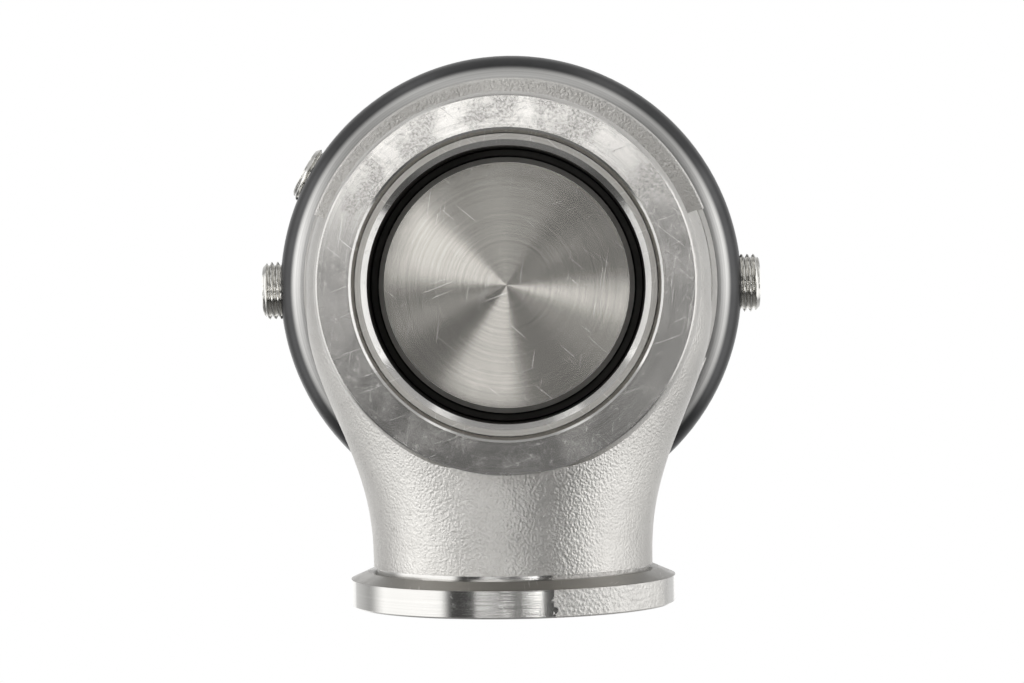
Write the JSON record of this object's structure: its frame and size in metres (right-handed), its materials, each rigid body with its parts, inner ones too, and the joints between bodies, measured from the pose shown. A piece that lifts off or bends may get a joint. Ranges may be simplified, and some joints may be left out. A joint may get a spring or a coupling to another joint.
{
  "type": "turbo wastegate",
  "caption": "External poppet wastegate with V-band inlet and side outlet, seat ring, guided valve and a round spring-and-diaphragm actuator with plugged coolant and boost ports.",
  "frame": {"origin": "centre of the inlet flange's face, on the valve's axis", "axes": "+Z along the valve's axis from the inlet to the actuator, -Y out of the outlet, +X towards the plugged coolant port next to the boost port"},
  "size_m": [0.0856, 0.0905, 0.11],
  "materials": {
    "cast_stainless": "bead-blasted cast stainless steel with machined faces",
    "flange_steel": "turned stainless steel with a scuffed face",
    "seat_steel": "turned stainless steel",
    "valve_steel": "turned stainless steel",
    "bronze": "turned bronze",
    "actuator_alloy": "dark satin machined alloy",
    "cap_alloy": "dark satin machined alloy",
    "plug_steel": "bright nickel-plated steel",
    "fastener_steel": "black oxide steel",
    "spring_steel": "shot-peened spring steel",
    "plate_alloy": "turned aluminium",
    "gasket_sheet": "graphite sheet",
    "seal_rubber": "black rubber",
    "diaphragm_rubber": "fabric-reinforced silicone rubber"
  },
  "bodies": {
    "housing": {"valve_housing": "cast_stainless", "inlet_flange": "flange_steel", "seat_ring": "seat_steel", "valve_guide": "bronze", "base_gasket": "gasket_sheet", "locating_dowel": "fastener_steel", "base_screws": "fastener_steel", "screw_washers": "fastener_steel", "actuator_base": "actuator_alloy", "stem_seal": "seal_rubber", "seal_retainer": "fastener_steel", "coolant_plug_left": "plug_steel", "coolant_plug_right": "plug_steel", "boost_plug": "plug_steel", "jacket_cover": "plate_alloy", "jacket_face_seal": "seal_rubber", "jacket_bore_seal": "seal_rubber", "diaphragm": "diaphragm_rubber", "outer_spring": "spring_steel", "middle_spring": "spring_steel", "inner_spring": "spring_steel", "top_cap": "cap_alloy", "retaining_ring": "fastener_steel"},
    "valve": {"poppet_valve": "valve_steel", "lower_plate": "plate_alloy", "spring_cup": "plate_alloy", "stem_washer": "fastener_steel", "stem_nut": "fastener_steel"}
  },
  "joints": [
    {"name": "valve_lift", "type": "slide", "parent": "housing", "child": "valve", "axis": [0, 0, 1], "range_m": [0, 0.01], "stiffness_N_per_m": 12000, "deforming": ["outer_spring", "middle_spring", "inner_spring", "diaphragm"]}
  ]
}
